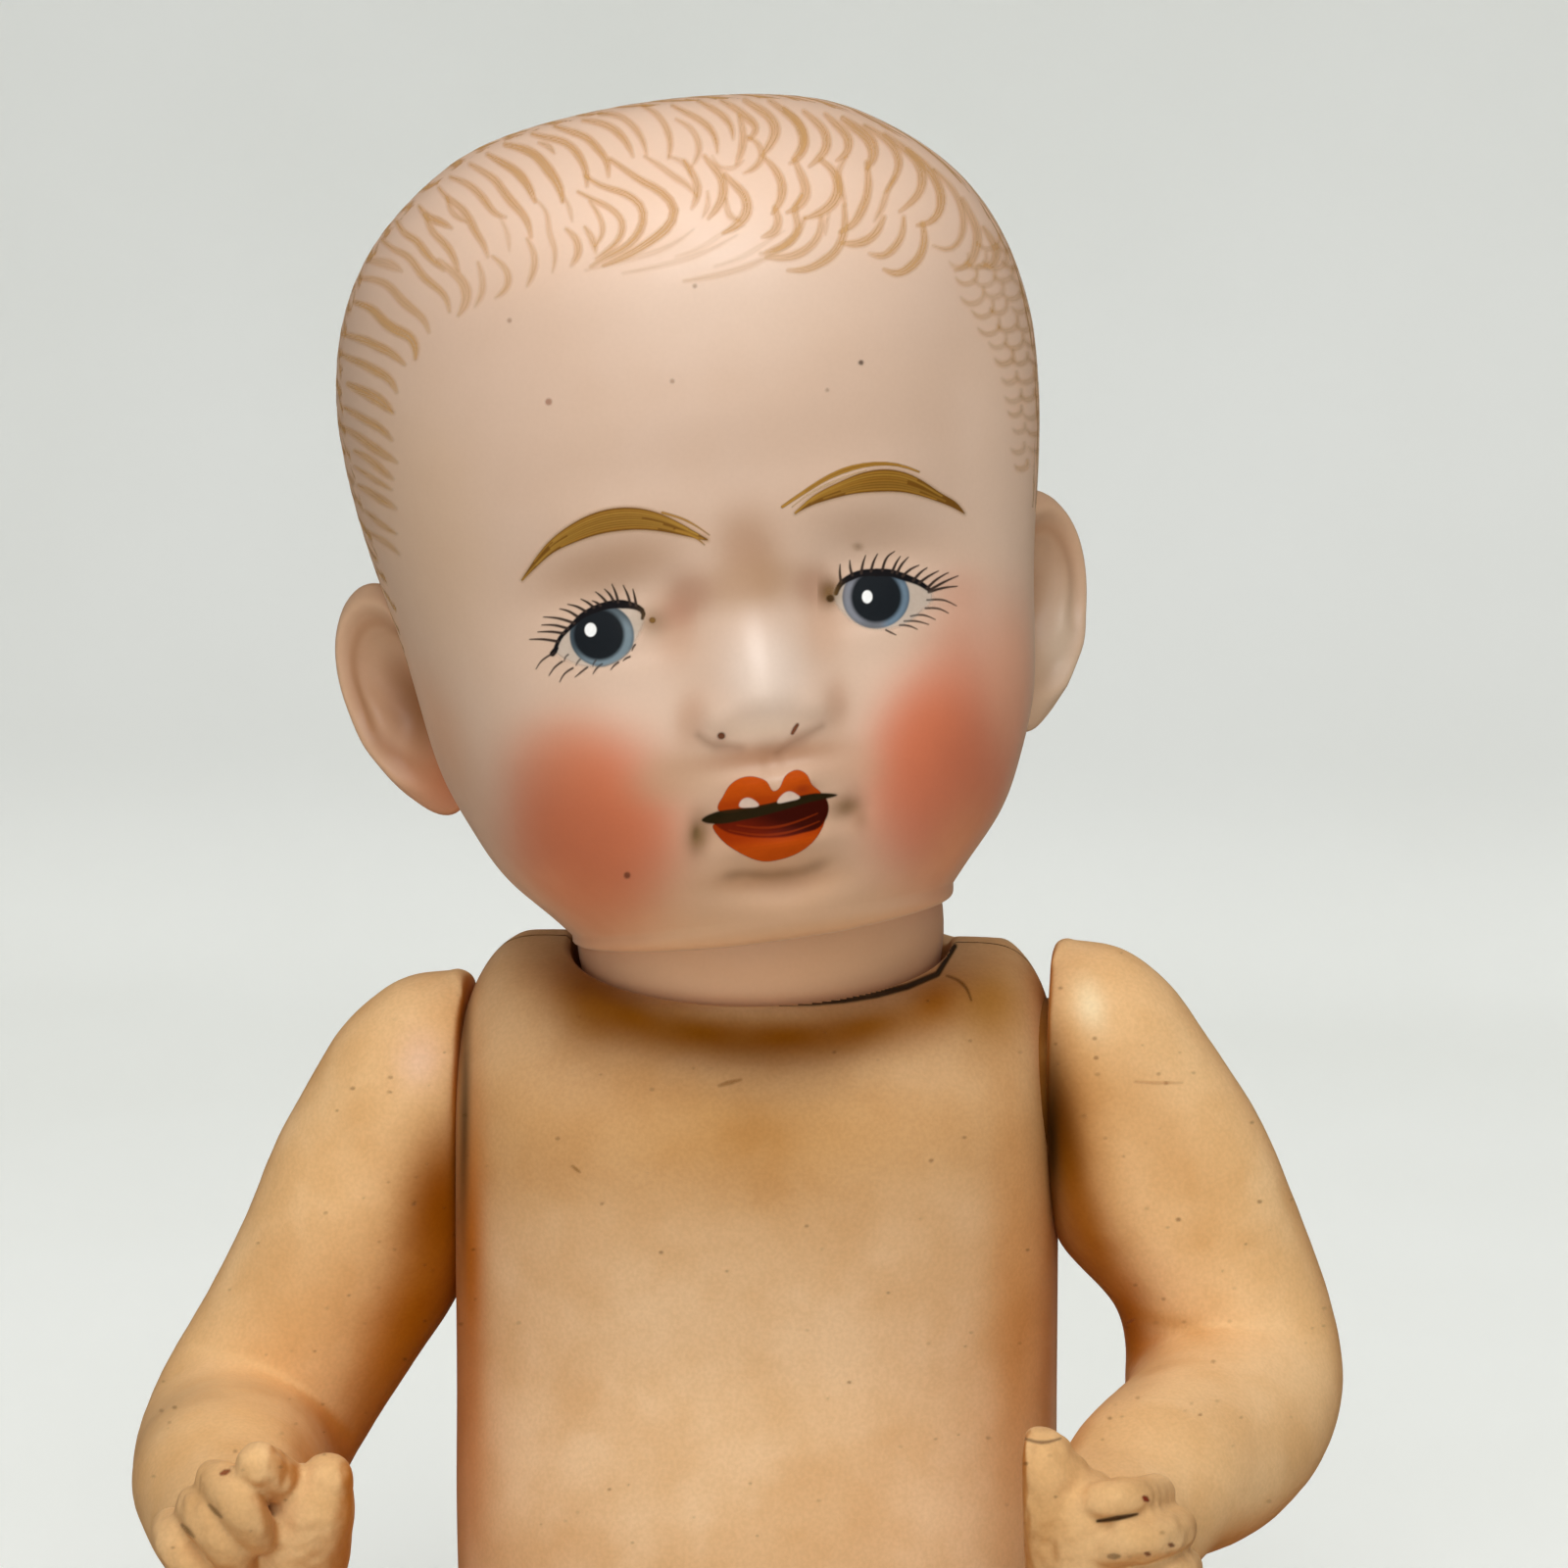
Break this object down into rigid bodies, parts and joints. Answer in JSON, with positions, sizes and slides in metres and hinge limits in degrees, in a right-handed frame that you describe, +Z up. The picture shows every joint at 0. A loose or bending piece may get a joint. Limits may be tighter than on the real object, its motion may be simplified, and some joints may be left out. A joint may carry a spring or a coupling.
{
  "type": "bisque head baby doll",
  "caption": "Seated bent-limb baby doll: a hollow painted bisque socket head on a jointed composition body, strung inside with elastic cords.",
  "frame": {"origin": "middle of the flat under the body that the doll sits on", "axes": "+Z up along the body; -Y the way the body faces; +X the doll's own left"},
  "size_m": [0.1163, 0.1372, 0.1807],
  "materials": {
    "bisque": "matt painted bisque",
    "body": "satin painted composition of glue and wood flour",
    "limbs": "satin painted composition, worn",
    "wood": "bare turned wood",
    "steel": "plain wire",
    "elastic": "woven round elastic",
    "leather": "thin kid leather"
  },
  "bodies": {
    "torso": {"torso_front": "body", "torso_back": "body", "neck_liner": "leather", "arm_elastic": "elastic", "leg_elastic": "elastic", "arm_elastic_ferrule": "steel", "leg_elastic_ferrule": "steel"},
    "hook": {"head_hook": "steel"},
    "plug": {"neck_plug": "wood", "neck_dowel": "wood"},
    "head": {"head": "bisque"},
    "right_arm": {"right_arm": "limbs", "right_arm_plug": "wood", "right_arm_hook": "steel"},
    "left_arm": {"left_arm": "limbs", "left_arm_plug": "wood", "left_arm_hook": "steel"},
    "right_leg": {"right_leg": "limbs", "right_leg_plug": "wood", "right_leg_hook": "steel"},
    "left_leg": {"left_leg": "limbs", "left_leg_plug": "wood", "left_leg_hook": "steel"}
  },
  "joints": [
    {"name": "head_turn", "type": "hinge", "parent": "torso", "child": "hook", "pos_m": [0, 0.003, 0.1005], "axis": [0, 0, 1], "range_deg": [-75, 75], "deforming": ["leg_elastic"]},
    {"name": "head_nod", "type": "hinge", "parent": "hook", "child": "plug", "pos_m": [0, 0.003, 0.1005], "axis": [0.9816, 0.1908, 0], "range_deg": [-5, 12]},
    {"name": "head_tilt", "type": "hinge", "parent": "plug", "child": "head", "pos_m": [0, 0.003, 0.1005], "axis": [-0.189, 0.9721, -0.1392], "range_deg": [-3, 15]},
    {"name": "right_shoulder", "type": "hinge", "parent": "torso", "child": "right_arm", "pos_m": [-0.0274, 0.0005, 0.083], "axis": [-1, 0, 0], "range_deg": [-15, 90], "deforming": ["arm_elastic"]},
    {"name": "left_shoulder", "type": "hinge", "parent": "torso", "child": "left_arm", "pos_m": [0.0274, 0.0005, 0.0856], "axis": [-1, 0, 0], "range_deg": [-15, 90], "deforming": ["arm_elastic"]},
    {"name": "right_hip", "type": "hinge", "parent": "torso", "child": "right_leg", "pos_m": [-0.0245, -0.004, 0.02], "axis": [-0.9063, 0, -0.4226], "range_deg": [-40, 24], "deforming": ["leg_elastic"]},
    {"name": "left_hip", "type": "hinge", "parent": "torso", "child": "left_leg", "pos_m": [0.0245, -0.004, 0.02], "axis": [-0.9063, 0, 0.4226], "range_deg": [-40, 24], "deforming": ["leg_elastic"]}
  ]
}
